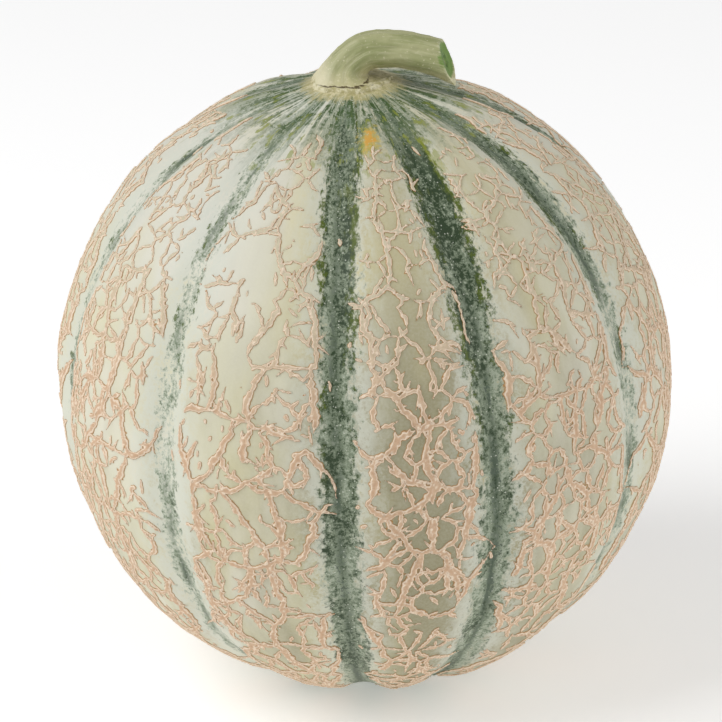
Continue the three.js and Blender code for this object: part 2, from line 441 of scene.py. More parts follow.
@dataclass(frozen=True)
class NetPattern:
    """The whole net as strands over the unit sphere."""

    mains: MainStrands = MainStrands()
    fines: FineStrands = FineStrands()
    step: float = 0.3 * MM
    cross_width: float = 0.62
    band_width: float = 0.35
    band_middle: float = 1.5 * MM
    band_reach: float = 4.6 * MM
    high_width: float = 0.62
    high_sines: tuple[float, float] = (0.1, 0.85)
    joint_width: float = 0.56
    middle_width: float = 1.16
    end_length: float = 3.4 * MM
    end_share: float = 0.8
    end_width: float = 0.12
    kink_length: float = 2.3 * MM
    kink: float = 0.55 * MM
    wander: float = 0.22 * MM
    wander_waves: tuple[Waves, ...] = tuple(Waves(length=5 * MM, key=20 + k) for k in range(3))
    tremble: float = 0.09 * MM
    tremble_waves: tuple[Waves, ...] = tuple(Waves(length=1.4 * MM, key=30 + k) for k in range(3))
    swell: float = 0.25
    swelling: Waves = Waves(length=2.6 * MM, key=40)
    breaks: Waves = Waves(length=9 * MM, key=41)
    break_levels: tuple[float, float] = (-1.35, -0.95)
    high_breaks: float = 0.35
    spindles: int = 1500
    spindle_latitudes: tuple[float, float] = (-72, 66)
    spindle_length: tuple[float, float] = (0.5 * MM, 3.8 * MM)
    spindle_half_width: tuple[float, float] = (0.26 * MM, 0.46 * MM)
    spindle_end: float = 0.25
    spindle_lean: float = 0.45
    spindle_height: float = 0.24 * MM
    band_bareness: float = 0.9
    spurs_a_metre: float = 170.0
    spur_length: tuple[float, float] = (1.2 * MM, 4.2 * MM)
    spur_lean: tuple[float, float] = (0.4, 1.05)
    spur_half_width: float = 0.37 * MM
    spur_root: float = 0.7
    spur_taper: float = 0.75
    spur_height: float = 0.85

    def steps(self, length: float) -> int:
        """Gives how many steps a strand of a length on the unit sphere is laid in."""
        return max(3, math.ceil(length * RADIUS / self.step))

    def warped(self, course: Array) -> Array:
        """Moves directions about a little, so that no strand runs smooth.

        Args:
            course: Directions, one a row.

        Returns:
            The moved directions.
        """
        places = course * RADIUS
        shift = self.wander * np.stack([w.at(places) for w in self.wander_waves], axis=-1)
        shift += self.tremble * np.stack([w.at(places) for w in self.tremble_waves], axis=-1)
        return unit(places + shift)

    def widths(self, course: Array, half_width: float, free: tuple[bool, ...]) -> Array:
        """Works out a strand's half width along its course.

        Args:
            course: Directions along the strand.
            half_width: The half width of a strand that runs from pole to pole.
            free: Whether the strand starts free, and whether it ends free.

        Returns:
            The half width at each direction.
        """
        places = course * RADIUS
        run = course[-1] - course[0]
        upright = abs(run[2]) / max(np.linalg.norm(run) * math.hypot(course[0][0], course[0][1]), 1e-9)
        share = self.cross_width + (1 - self.cross_width) * min(upright, 1)
        high = ease(course[:, 2], *self.high_sines)
        share = share * (1 + (self.high_width - 1) * high)
        widths = half_width * share * (1 + self.swell * self.swelling.at(places))
        widths = widths * ease(self.breaks.at(places) - self.high_breaks * high, *self.break_levels)
        clear = ease(FORM.suture_distance(course), self.band_middle, self.band_reach)
        widths = widths * (self.band_width + (1 - self.band_width) * clear)
        travelled = np.linalg.norm(np.diff(course, axis=0), axis=1).cumsum() * RADIUS
        travelled = np.concatenate([[0], travelled])
        length = travelled[-1]
        spindle = np.sin(math.pi * travelled / length)
        widths = widths * (self.joint_width + (self.middle_width - self.joint_width) * spindle)
        for is_free, distance in zip(free, (travelled, length - travelled)):
            if is_free:
                reach = min(self.end_length, self.end_share * length)
                widths = widths * (self.end_width + (1 - self.end_width) * ease(distance, 0, reach))
        return widths

    def kinked(self, border: Border, length: float, share: Array) -> Array:
        """Makes a strand run in short straight stretches.

        Args:
            border: The border that it runs along.
            length: The border's length on the unit sphere.
            share: Places along it, from 0 to 1.

        Returns:
            How far it stands aside at each place, on the unit sphere.
        """
        kinks = max(1, round(length * RADIUS / self.kink_length))
        asides = [2 * scatter(border.low + kink, border.high + 0.3) - 1 for kink in range(kinks + 1)]
        asides[0] = asides[-1] = 0.0
        return np.interp(share, np.linspace(0, 1, kinks + 1), asides) * self.kink / RADIUS

    def along_borders(self, rule: StrandRule) -> list[Strand]:
        """Lays a strand along each border that a rule keeps.

        Args:
            rule: Which borders carry a strand, and how wide and high they are.

        Returns:
            The strands.
        """
        seeds = rule.cells.seeds()
        kept = [border for border in cell_borders(seeds) if rule.keeps(border, seeds)]
        meeting = Counter(end for border in kept for end in border.ends)
        strands = []
        for border in kept:
            length = float(np.linalg.norm(border.stop - border.start))
            share = np.linspace(0, 1, self.steps(length) + 1)
            course = border.start + (border.stop - border.start) * share[:, None]
            aside = rule.bend_of(border) * length * np.sin(math.pi * share)
            aside = aside + self.kinked(border, length, share)
            course = self.warped(unit(course + border.sideways * aside[:, None]))
            free = tuple(meeting[end] == 1 for end in border.ends)
            strands.append(Strand(course, self.widths(course, rule.half_width, free), rule.height))
        return strands

    def loose_spindles(self) -> list[Strand]:
        """Strews short spindles and dots that meet no other strand.

        Returns:
            The spindles.
        """
        draw = np.random.default_rng(SEED)
        lowest, highest = (math.sin(math.radians(end)) for end in self.spindle_latitudes)
        strands = []
        for _ in range(self.spindles):
            sine = draw.uniform(lowest, highest)
            middle = direction(draw.uniform(0, 2 * math.pi), math.asin(sine))
            length = draw.uniform(*self.spindle_length) / RADIUS
            half_width = draw.uniform(*self.spindle_half_width)
            lean = draw.normal(0, self.spindle_lean)
            if FORM.suture_distance(middle) < self.band_reach and draw.uniform() < self.band_bareness:
                continue
            east = unit(np.array([-middle[1], middle[0], 0]))
            heading = math.cos(lean) * np.cross(middle, east) + math.sin(lean) * east
            share = np.linspace(-0.5, 0.5, self.steps(length) + 1)
            course = self.warped(unit(middle + heading * length * share[:, None]))
            widths = half_width * (self.spindle_end + (1 - self.spindle_end) * np.cos(math.pi * share))
            strands.append(Strand(course, widths, self.spindle_height))
        return strands

    def spurs(self, strands: list[Strand]) -> list[Strand]:
        """Grows short tapering spurs from the sides of strands.

        Args:
            strands: The strands that they grow from.

        Returns:
            The spurs.
        """
        draw = np.random.default_rng(SEED + 1)
        grown = []
        for strand in strands:
            for _ in range(draw.poisson(self.spurs_a_metre * self.step * len(strand.course))):
                place = int(draw.integers(1, len(strand.course) - 1))
                lean, side, way = draw.uniform(*self.spur_lean), draw.choice((-1, 1)), draw.choice((-1, 1))
                length = draw.uniform(*self.spur_length) / RADIUS
                if strand.half_width[place] < self.spur_root * self.spur_half_width:
                    continue
                root = strand.course[place]
                along = unit(strand.course[place + 1] - strand.course[place - 1])
                heading = way * math.cos(lean) * along + side * math.sin(lean) * np.cross(root, along)
                share = np.linspace(0, 1, self.steps(length) + 1)
                course = unit(root + heading * length * share[:, None])
                widths = self.spur_half_width * (1 - self.spur_taper * share)
                grown.append(Strand(course, widths, self.spur_height * strand.height))
        return grown

    def strands(self) -> list[Strand]:
        """Gives every strand of the net."""
        joined = self.along_borders(self.mains) + self.along_borders(self.fines)
        return joined + self.spurs(joined) + self.loose_spindles()


class Measure(Enum):
    """What is stored for each vertex, for the finishes to read."""

    ACROSS = "across"
    FROM_AXIS = "from_axis"
    UP = "up"
    STRENGTH = "strength"
    TONE_AND_LIGHT = "tone_and_light"
    STRAND = "strand"
    FLOW = "flow"


def store(mesh: Mesh, measure: Measure, values: Array) -> None:
    """Stores what the finishes read.

    Args:
        mesh: The mesh.
        measure: What it is.
        values: A number, or a vector, for each vertex.
    """
    kind, key = ("FLOAT", "value") if values.ndim == 1 else ("FLOAT_VECTOR", "vector")
    layer = mesh.attributes.new(measure.value, kind, "POINT")
    layer.data.foreach_set(key, values.astype(np.float32).ravel())


def read_points(mesh: Mesh) -> Array:
    """Reads the places of a mesh's vertices.

    Args:
        mesh: The mesh.

    Returns:
        The places, one a row.
    """
    flat = np.empty(3 * len(mesh.vertices))
    mesh.vertices.foreach_get("co", flat)
    return flat.reshape(-1, 3)


def write_points(mesh: Mesh, places: Array) -> None:
    """Moves the vertices of a mesh."""
    mesh.vertices.foreach_set("co", places.astype(np.float32).ravel())
    mesh.update()


def mesh_of(bm: bmesh.types.BMesh, name: str) -> Mesh:
    """Turns a bmesh into a smooth mesh and frees it.

    Args:
        bm: The bmesh.
        name: The mesh's name.

    Returns:
        The mesh.
    """
    for face in bm.faces:
        face.smooth = True
    mesh = bpy.data.meshes.new(name)
    bm.to_mesh(mesh)
    bm.free()
    return mesh


def link(name: str, data: bpy.types.ID) -> Object:
    """Puts an object in the scene.

    Args:
        name: Its name.
        data: Its mesh, light or camera.

    Returns:
        The object.
    """
    placed = bpy.data.objects.new(name, data)
    bpy.context.scene.collection.objects.link(placed)
    return placed


def add_piece(mesh: Mesh, node: str, material: bpy.types.Material) -> Object:
    """Puts a finished mesh in the scene.

    Args:
        mesh: The mesh, whose name the piece takes.
        node: The CAD node that it stands for.
        material: Its finish.

    Returns:
        The new piece.
    """
    piece = link(mesh.name, mesh)
    mesh.materials.append(material)
    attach(piece, "root")
    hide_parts(node)
    log.info("%s: %d faces", piece.name, len(mesh.polygons))
    return piece


def operator(operation: str) -> Callable[["Value", "Value | float"], "Value"]:
    """Makes an operator of Value that adds a Math node."""
    return lambda value, other: value.math(operation, other)


class Value:
    """A number, colour or vector that varies over a surface: one output of a node."""

    __add__ = __radd__ = operator("ADD")
    __mul__ = __rmul__ = operator("MULTIPLY")
    __sub__ = operator("SUBTRACT")
    __truediv__ = operator("DIVIDE")
    __pow__ = operator("POWER")

    def __init__(self, tree: "Tree", socket: bpy.types.NodeSocket) -> None:
        """Keeps the tree and the socket."""
        self.tree = tree
        self.socket = socket

    def math(self, operation: str, other: "Value | float" = 0.0) -> "Value":
        """Adds a Math node with this value first."""
        return self.tree.value("ShaderNodeMath", {"operation": operation}, {0: self, 1: other})

    def __rsub__(self, other: float) -> "Value":
        """Subtracts this from a number."""
        return self * -1 + other

    def rise(self, low: float, high: float) -> "Value":
        """Gives 0 at low, 1 at high, and a smooth rise between. low may be above high."""
        settings = {"interpolation_type": "SMOOTHSTEP"}
        return self.tree.value("ShaderNodeMapRange", settings, {"Value": self, 1: low, 2: high})

    def hump(self, middle: float, reach: float) -> "Value":
        """Gives 1 at middle and 0 at reach from it."""
        return (self - middle).math("ABSOLUTE").rise(reach, 0)

    def mix(self, low: "Value | str", high: "Value | str") -> "Value":
        """Mixes two colours, with this as the share of the second.

        Args:
            low: The first colour, as a value or a screen code.
            high: The second colour.

        Returns:
            The mixed colour.
        """
        low, high = (srgb(end) if isinstance(end, str) else end for end in (low, high))
        settings = {"data_type": "RGBA", "clamp_factor": True}
        return self.tree.value("ShaderNodeMix", settings, {0: self, 6: low, 7: high}, output=2)


def srgb(code: str) -> tuple[float, float, float, float]:
    """Turns a screen colour into the renderer's linear numbers.

    Args:
        code: The colour, such as d5d8b6.

    Returns:
        Red, green, blue and alpha.
    """
    shares = [int(code[place : place + 2], 16) / 255 for place in (0, 2, 4)]
    linear = [s / 12.92 if s <= 0.04045 else ((s + 0.055) / 1.055) ** 2.4 for s in shares]
    return (*linear, 1.0)


class Tree:
    """The node tree of one material."""

    def __init__(self, name: str) -> None:
        """Starts a material with an empty tree.

        Args:
            name: The material's name.
        """
        self.material = bpy.data.materials.new(name)
        self.material.use_nodes = True
        self.nodes = self.material.node_tree.nodes
        self.links = self.material.node_tree.links
        self.nodes.clear()

    def node(self, kind: str, settings: dict | None = None, sockets: dict | None = None) -> bpy.types.Node:
        """Adds a node.

        Args:
            kind: The node's type.
            settings: Its own settings, set first.
            sockets: The value or link of each input, by name or number.

        Returns:
            The node.
        """
        node = self.nodes.new(kind)
        for name, setting in (settings or {}).items():
            setattr(node, name, setting)
        for name, given in (sockets or {}).items():
            if isinstance(given, Value):
                self.links.new(given.socket, node.inputs[name])
            else:
                node.inputs[name].default_value = given
        return node

    def value(
        self, kind: str, settings: dict | None = None, sockets: dict | None = None, output: str | int = 0
    ) -> Value:
        """Adds a node and gives one of its outputs."""
        return Value(self, self.node(kind, settings, sockets).outputs[output])

    def measure(self, measure: Measure) -> Value:
        """Reads what is stored for the piece's surface."""
        output = "Vector" if measure is Measure.FLOW else "Fac"
        return self.value("ShaderNodeAttribute", {"attribute_name": measure.value}, output=output)

    def vector(self, operation: str, first: Value, second: Iterable[float], output: int = 0) -> Value:
        """Adds a Vector Math node. Its output is 1 where the result is a number."""
        sockets = {0: first, 1: tuple(second)}
        return self.value("ShaderNodeVectorMath", {"operation": operation}, sockets, output)

    def distance(self, places: Value, point: Iterable[float]) -> Value:
        """Measures how far places are from a point."""
        return self.vector("DISTANCE", places, point, 1)

    def along(self, places: Value, point: Iterable[float], heading: Iterable[float]) -> Value:
        """Measures how far places are past a point, along a heading."""
        return self.vector("DOT_PRODUCT", self.vector("SUBTRACT", places, point), heading, 1)

    @cached_property
    def places(self) -> Value:
        """The place on the piece, in millimetres."""
        return self.vector("MULTIPLY", self.value("ShaderNodeTexCoord", output="Object"), [1 / MM] * 3)

    @cached_property
    def flow(self) -> Value:
        """The place as if the ribs, or the stem's fibres, ran straight up a barrel."""
        return self.measure(Measure.FLOW)

    def noise(
        self, vector: Value, size: float, detail: float = 2.0, roughness: float = 0.5, run: float = 1.0
    ) -> Value:
        """Adds noise of about 0 to 1.

        Args:
            vector: Where on the surface it is read.
            size: How wide its blots are, in the vector's units.
            detail: How many finer layers it has.
            roughness: How strong those are.
            run: How fast it changes along the vector's third axis: less than 1 draws the blots out.

        Returns:
            The noise.
        """
        if run != 1:
            vector = self.vector("MULTIPLY", vector, (1, 1, run))
        sockets = {"Vector": vector, "Scale": 1 / size, "Detail": detail, "Roughness": roughness}
        return self.value("ShaderNodeTexNoise", None, sockets)

    def specks(self, vector: Value, size: float) -> Value:
        """Gives the distance from scattered points that stand about size apart, as a share of it."""
        sockets = {"Vector": vector, "Scale": 1 / size, "Randomness": 1.0}
        return self.value("ShaderNodeTexVoronoi", {"feature": "F1"}, sockets)

    def finish(
        self, sockets: dict[str, Any], height: Value | None = None, distance: float = 0.0
    ) -> bpy.types.Material:
        """Ends the tree with its surface.

        Args:
            sockets: The values or links of the surface's inputs.
            height: The relief of the surface, from 0 to 1.
            distance: How far that relief reaches, in metres.

        Returns:
            The material.
        """
        if height is not None:
            relief = {"Height": height, "Distance": distance, "Strength": 1.0}
            sockets = sockets | {"Normal": self.value("ShaderNodeBump", None, relief)}
        surface = self.value("ShaderNodeBsdfPrincipled", None, sockets)
        self.node("ShaderNodeOutputMaterial", None, {"Surface": surface})
        return self.material


@dataclass(frozen=True)
class RindFinish:
    """The surface of the fruit: cream green ribs, dark mottled bands along the sutures, and the net."""

    skin: str = "d6d3b9"
    pale_skin: str = "dedbcd"
    deep_skin: str = "979172"
    top_skin: str = "e0dfd6"
    top_yellow: str = "cdc59f"
    halo: str = "d4d7ca"
    band: str = "7a866f"
    band_dark: str = "31422a"
    band_pale: str = "a5ae9a"
    core: str = "314434"
    blot: str = "5b6a20"
    speck: str = "dfe3d3"
    top_green: str = "31501a"
    top_grey: str = "7f8d76"
    top_pale: str = "cfd0b6"
    top_olive: str = "8c9433"
    yellow: str = "d9cf93"
    gold: str = "c8b456"
    orange: str = "dda03c"
    collar: str = "b5ad7c"
    collar_pale: str = "ddd3aa"
    dot: str = "4b3423"
    cork: str = "dbbfa1"
    cork_pink: str = "d2af90"
    lip: str = "f7e6d0"
    # Tan of the strands' flanks and of the skin round their feet: partly the cork's own tan, partly painted
    # shade
    foot: str = "ad7d3e"
    # Painted shade: a darker tan along the middle furrow of each strand
    furrow_shade: str = "c8a384"
    half_width: float = 3.7
    orange_place: tuple[float, float, float] = (2.9, -23.9, 127.3)
    orange_shape: tuple[float, float, float] = (1.7, 0.75, 0.75)
    skin_roughness: float = 0.5
    cork_roughness: float = 0.8
    gloss: float = 0.3
    relief: float = 0.1 * MM

    def ribs(self, tree: Tree) -> Value:
        """Colours the ribs: cream green, deeper on some ribs and in soft patches, and paler on the left
        ribs as painted light.

        Args:
            tree: The material's tree.

        Returns:
            The ribs' colour.
        """
        places, flow = tree.places, tree.flow
        up, tone_and_light = tree.measure(Measure.UP), tree.measure(Measure.TONE_AND_LIGHT)
        pale = tree.noise(places, 20, 3).rise(0.44, 0.62)
        colour = (pale * 0.6).mix(self.skin, self.pale_skin)
        patches = tree.noise(flow, 8, 4, 0.55, run=0.4) - 0.5
        # The rib tone carries painted light: it is low, so the skin is paler, on the left ribs where the
        # key light falls
        deep = (tone_and_light + up * -0.004 + patches * 1.1).rise(0.1, 1.1)
        colour = deep.mix(colour, self.deep_skin)
        high = (up + patches * 60).rise(18, 52)
        colour = (high * 0.6).mix(colour, tone_and_light.rise(0.3, 0.65).mix(self.top_skin, self.top_yellow))
        yellow = tree.noise(flow, 17, 4, run=0.5).rise(0.45, 0.8)
        colour = (yellow * 0.5).mix(colour, self.yellow)
        grain = tree.noise(places, 0.5, 3, 0.65)
        return (grain.rise(0.3, 0.75) * 0.16).mix(colour, self.pale_skin)

    def bands(self, tree: Tree, colour: Value) -> Value:
        """Lays the bands over the ribs' colour.

        Args:
            tree: The material's tree.
            colour: The ribs' colour.

        Returns:
            The colour with the bands.
        """
        places, flow = tree.places, tree.flow
        across, strength = tree.measure(Measure.ACROSS), tree.measure(Measure.STRENGTH)
        up, from_axis = tree.measure(Measure.UP), tree.measure(Measure.FROM_AXIS)
        girth = (from_axis / (RADIUS / MM)).math("MINIMUM", 1.0)
        streaks = tree.noise(flow, 1.3, 4, 0.6, run=0.13)
        broad = tree.noise(flow, 4.2, 3, 0.55, run=0.16)
        blots = tree.noise(flow, 2.1, 5, 0.7, run=0.75)
        grain = tree.noise(places, 0.7, 4, 0.75)
        mottle = tree.noise(flow, 1.2, 6, 0.76, run=0.85) - 0.5
        patches = tree.noise(flow, 5, 2, 0.5, run=0.5) - 0.5
        middle = (across + (broad - 0.5) * 3) / girth ** 0.45
        width = (strength * 0.75 + 0.3) * self.half_width
        edge = (middle + (blots - 0.5) * 8 + (streaks - 0.5) * 0.8) / width
        spots = mottle * 6.5 + patches * 3.6 + (grain - 0.5) * 5
        spread = (middle + (blots - 0.5) * 8) / self.half_width
        halo = spread.rise(3.4, 0.9) * (spots * 0.5 + 0.5 - spread * 0.15).rise(-0.45, 0.4)
        colour = (halo * 0.75).mix(colour, self.halo)
        rim = edge.hump(0.9, 0.4) * up.rise(-25, 20) * 0.5
        depth = spots + strength * 2.1 - edge * 0.35 + rim - 1.35
        inside = depth.rise(-0.8, 0.2).mix(self.band_pale, self.band)
        inside = depth.rise(0.1, 1.2).mix(inside, self.band_dark)
        body = (edge - mottle * 2.2).rise(1.45, 0.85) * (spots * 0.4 + strength * 1.2).rise(0.0, 0.6)
        colour = body.mix(colour, inside)
        line = (middle + mottle * 7 + (grain - 0.5) * 5).rise(1.0, 0.1)
        line = line * (strength + patches * 1.2).hump(0.62, 0.4)
        colour = (line * 0.85).mix(colour, self.core)
        ragged = edge.hump(1.05, 0.5) * (mottle * 3 + patches * 2 + strength * 0.4).rise(0.3, 0.7)
        colour = (ragged * up.rise(-8, 26) * 0.9).mix(colour, self.blot)
        specks = tree.specks(places, 0.9).rise(0.2, 0.11) * tree.noise(places, 4, 2).rise(0.36, 0.56)
        return (specks * edge.rise(1.1, 0.8) * 0.7).mix(colour, self.speck)

    def crown(self, tree: Tree, colour: Value) -> Value:
        """Lays the streaks, the orange patch and the yellow collar round the stem over the rest.

        Args:
            tree: The material's tree.
            colour: The colour of the ribs and the bands.

        Returns:
            The colour with the crown.
        """
        places, flow = tree.places, tree.flow
        from_axis = tree.measure(Measure.FROM_AXIS)
        streaks = tree.noise(flow, 4.5, 5, 0.62, run=0.16)
        short = tree.noise(flow, 4.5, 5, 0.68, run=0.5)
        blotted = tree.noise(places, 1.5, 5, 0.75)
        near = (from_axis + (short - 0.5) * 40).rise(34, 17)
        grey = (streaks * 0.5 + short * 0.3 + blotted * 0.2).rise(0.43, 0.5) * near
        colour = (grey * 0.75).mix(colour, self.top_grey)
        pale = (streaks * 0.5 + blotted * 0.5).rise(0.5, 0.56) * from_axis.rise(34, 16)
        colour = (pale * 0.5).mix(colour, self.top_pale)
        green = (streaks * 0.25 + short * 0.45 + blotted * 0.3).rise(0.5, 0.53) * near
        colour = (green * 0.9).mix(colour, self.top_green)
        olive = (short * 0.7 + tree.noise(places, 3, 2) * 0.3).rise(0.55, 0.6) * from_axis.rise(42, 24)
        colour = (olive * from_axis.rise(12, 18) * 0.75).mix(colour, self.top_olive)
        patch = [place * share for place, share in zip(self.orange_place, self.orange_shape)]
        hot = tree.distance(tree.vector("MULTIPLY", places, self.orange_shape), patch) + (short - 0.5) * 6
        hot = hot + (tree.noise(places, 1.2, 4, 0.7) - 0.5) * 11
        colour = (hot.rise(4.4, 2.0) * 0.65).mix(colour, self.gold)
        colour = (hot.rise(2.2, 0.6) * 0.75).mix(colour, self.orange)
        specks = tree.specks(places, 0.7).rise(0.26, 0.12) * tree.noise(places, 2.5, 2).rise(0.4, 0.6)
        colour = (specks * from_axis.rise(36, 16) * 0.7).mix(colour, self.speck)
        torn = tree.noise(places, 1.6, 5, 0.75)
        collar = (from_axis + (streaks - 0.5) * 8 + (torn - 0.5) * 10).rise(12.2, 9.0)
        mealy = torn.rise(0.42, 0.6).mix(self.collar, self.collar_pale)
        return (collar * tree.measure(Measure.UP).rise(40, 60) * 0.9).mix(colour, mealy)

    def net(self, tree: Tree, colour: Value) -> Value:
        """Lays the dry net over the skin's colour: pinkish beige with cream lips, tan flanks and a tan rim
        on the skin that are partly the cork's own tan and partly painted shade, and painted shade along the
        middle furrow.

        Args:
            tree: The material's tree.
            colour: The skin's colour.

        Returns:
            The colour with the net.
        """
        near = tree.measure(Measure.STRAND)
        grain = tree.noise(tree.places, 0.45, 3, 0.7)
        cork = grain.rise(0.35, 0.65).mix(self.cork, self.cork_pink)
        cork = ((near + (grain - 0.5) * 0.3).hump(0.7, 0.3) * 0.9).mix(cork, self.lip)
        # Painted shade: a darker tan along each strand's middle furrow
        cork = ((near + (grain - 0.5) * 0.5).rise(0.3, 0.08) * 0.55).mix(cork, self.furrow_shade)
        hollow = tree.measure(Measure.UP).rise(12, 46) * (near + (grain - 0.5) * 0.4).rise(0.64, 0.38)
        cork = (hollow * 0.75).mix(cork, self.skin)
        # Tan flanks and a tan rim on the skin round each strand: partly the cork's own tan, partly painted
        # shade where it meets the skin
        cork = near.rise(0.86, 1.02).mix(cork, self.foot)
        colour = (near.rise(1.34, 0.98) * 0.65).mix(colour, self.foot)
        return near.rise(1.12, 0.98).mix(colour, cork)

    def material(self) -> bpy.types.Material:
        """Makes the finish.

        Returns:
            The material of the rind and the net.
        """
        tree = Tree("rind")
        places = tree.places
        colour = self.crown(tree, self.bands(tree, self.ribs(tree)))
        dots = tree.specks(places, 17).rise(0.03, 0.022)
        colour = self.net(tree, dots.mix(colour, self.dot))
        net = tree.measure(Measure.STRAND).rise(1.1, 0.95)
        relief = tree.noise(places, 0.9, 4, 0.6) * (1 - net) * 0.5
        relief = relief + tree.noise(places, 0.4, 4, 0.7) * net * 1.6
        roughness = net * (self.cork_roughness - self.skin_roughness) + self.skin_roughness
        sockets = {"Base Color": colour, "Roughness": roughness, "Specular IOR Level": self.gloss}
        return tree.finish(sockets, relief, self.relief)


@dataclass(frozen=True)
class StemFinish:
    """The stem: pale green and fibrous, with a fresh green cut end and a frayed pale rim.

    Attributes:
        cut: The middle of the cut, in millimetres.
        heading: The way that the cut faces.
        top: The height of the fruit's top, in millimetres.
    """

    cut: Vector
    heading: Vector
    top: float
    green: str = "adae80"
    olive: str = "959a67"
    pale: str = "dbd6b6"
    foot: str = "c9c295"
    fresh: str = "6f8d40"
    wet: str = "3d5d27"
    rim: str = "d8d8b4"
    # Cream of the flecks and the torn foot, and painted light on the stem's lower left
    cream: str = "e3dcbb"
    collar: str = "b5ad7c"
    crack: str = "4a3a1c"
    foot_height: float = 3.8
    roughness: float = 0.55
    relief: float = 0.16 * MM

    def side(self, tree: Tree, fibres: Value, broad: Value, scuffs: Value) -> Value:
        """Colours the stem's side, down to its foot, with painted light on its lower left.

        Args:
            tree: The material's tree.
            fibres: Fine noise along the stem.
            broad: Broad noise along the stem.
            scuffs: Where the skin is scuffed.

        Returns:
            The side's colour.
        """
        places = tree.places
        colour = broad.rise(0.38, 0.66).mix(self.green, self.olive)
        colour = (fibres.rise(0.46, 0.72) * 0.38).mix(colour, self.pale)
        colour = (scuffs * 0.35).mix(colour, self.pale)
        specks = tree.specks(places, 0.8).rise(0.24, 0.12) * tree.noise(places, 2, 2).rise(0.42, 0.58)
        colour = (specks * 0.6).mix(colour, self.pale)
        above = tree.along(places, (0, 0, self.top), (0, 0, 1))
        height = above + (broad + fibres - 1) * 3
        colour = (height.rise(self.foot_height, 0.4) * 0.85).mix(colour, self.foot)
        flecks = tree.noise(places, 0.7, 4, 0.75).rise(0.52, 0.64) * height.rise(self.foot_height, 0.8)
        colour = (flecks * 0.6).mix(colour, self.cream)
        # Painted light: cream on the lower left of the stem, the side that the key light falls on
        lit_left = tree.along(places, (-1.5, 0, 0), (-1, 0, 0)) + (broad + scuffs - 0.8) * 3
        colour = (lit_left.rise(0.5, 4.5) * height.rise(11, 3) * 0.75).mix(colour, self.cream)
        torn = tree.noise(places, 1.6, 5, 0.75)
        edge = above + (torn - 0.5) * 0.7
        colour = edge.rise(0.75, 0.3).mix(colour, torn.rise(0.42, 0.6).mix(self.collar, self.cream))
        broken = tree.noise(places, 1.7, 3).rise(0.42, 0.5)
        aside = tree.along(places, (0, 0, 0), (1, 0, 0)).hump(-1.0, 7.6).rise(0, 0.3)
        return (edge.hump(0.42, 0.16).rise(0.05, 0.5) * broken * aside * 0.9).mix(colour, self.crack)

    def material(self) -> bpy.types.Material:
        """Makes the finish.

        Returns:
            The stem's material.
        """
        tree = Tree("stem_skin")
        places, flow = tree.places, tree.flow
        fibres = tree.noise(flow, 0.45, 5, 0.65, run=0.09)
        broad = tree.noise(flow, 3.0, 3, 0.5, run=0.35)
        scuffs = tree.noise(places, 1.3, 4, 0.7).rise(0.6, 0.72)
        colour = self.side(tree, fibres, broad, scuffs)
        past = tree.along(places, self.cut, self.heading)
        fray = (past + (scuffs + fibres - 0.8) * 1.8).rise(-0.9, 0.3)
        colour = (fray * 0.75).mix(colour, self.rim)
        from_middle = tree.distance(places, self.cut)
        wet = (tree.noise(places, 1.1, 4, 0.6) * 3 + from_middle * 0.3).rise(2.2, 1.5)
        fresh = (wet * 0.8).mix(self.fresh, self.wet)
        ragged = from_middle + (fibres - 0.5) * 1.6
        colour = (past.rise(-0.9, -0.5) * ragged.rise(4.1, 3.5)).mix(colour, fresh)
        relief = fibres * 0.7 + tree.noise(places, 0.6, 3, 0.6) * 0.3
        return tree.finish({"Base Color": colour, "Roughness": self.roughness}, relief, self.relief)


def store_measures(mesh: Mesh, directions: Array) -> None:
    """Stores where each vertex is on the fruit, in millimetres, for the finishes to read.

    Args:
        mesh: The mesh of the fruit, or of a part of its surface.
        directions: The direction of each vertex from the fruit's middle.
    """
    girth = np.hypot(directions[:, 0], directions[:, 1])
    longitude = np.arctan2(directions[:, 0], -directions[:, 1])
    latitude = np.arcsin(np.clip(directions[:, 2], -1, 1))
    radius = RADIUS / MM
    high = ease(directions[:, 2], 0.3, 0.8)
    low_strength, high_strength = (
        FORM.round_values(directions, values) for values in (BAND_STRENGTHS, TOP_STRENGTHS)
    )
    store(mesh, Measure.ACROSS, FORM.suture_distance(directions) / MM)
    store(mesh, Measure.FROM_AXIS, girth * radius)
    store(mesh, Measure.UP, directions[:, 2] * FORM.polar_radius / MM)
    store(mesh, Measure.STRENGTH, low_strength + (high_strength - low_strength) * high)
    # Each rib's tone, with painted light: paler on the left ribs where the key light falls
    store(mesh, Measure.TONE_AND_LIGHT, FORM.round_values(directions, RIB_TONES_AND_LIGHT, FORM.half_gap))
    flow = [np.sin(longitude) * radius, np.cos(longitude) * radius, latitude * radius]
    store(mesh, Measure.FLOW, np.stack(flow, axis=-1))


@dataclass
class Rind:
    """The skin of the whole fruit, without its net."""

    cuts: int = 95

    def build(self) -> Mesh:
        """Models the skin: a cube cut into small squares, blown up to the fruit's form.

        Returns:
            Its mesh.
        """
        bm = bmesh.new()
        bmesh.ops.create_cube(bm, size=2)
        bmesh.ops.subdivide_edges(bm, edges=bm.edges, cuts=self.cuts, use_grid_fill=True)
        mesh = mesh_of(bm, "rind")
        directions = unit(np.tan(read_points(mesh) * math.pi / 4))
        write_points(mesh, FORM.place(directions))
        store_measures(mesh, directions)
        store(mesh, Measure.STRAND, np.full(len(directions), FAR))
        return mesh

    def dress(self, mesh: Mesh, material: bpy.types.Material) -> Object:
        """Puts the skin in the scene with its finish."""
        return add_piece(mesh, "fruit", material)


def within(middle: float, reach: float, step: float, count: int) -> slice:
    """Gives the lines of a grid, a step apart, that lie within reach of a place."""
    first, last = math.ceil((middle - reach) / step), math.floor((middle + reach) / step)
    return slice(max(0, first), min(count, last + 1))


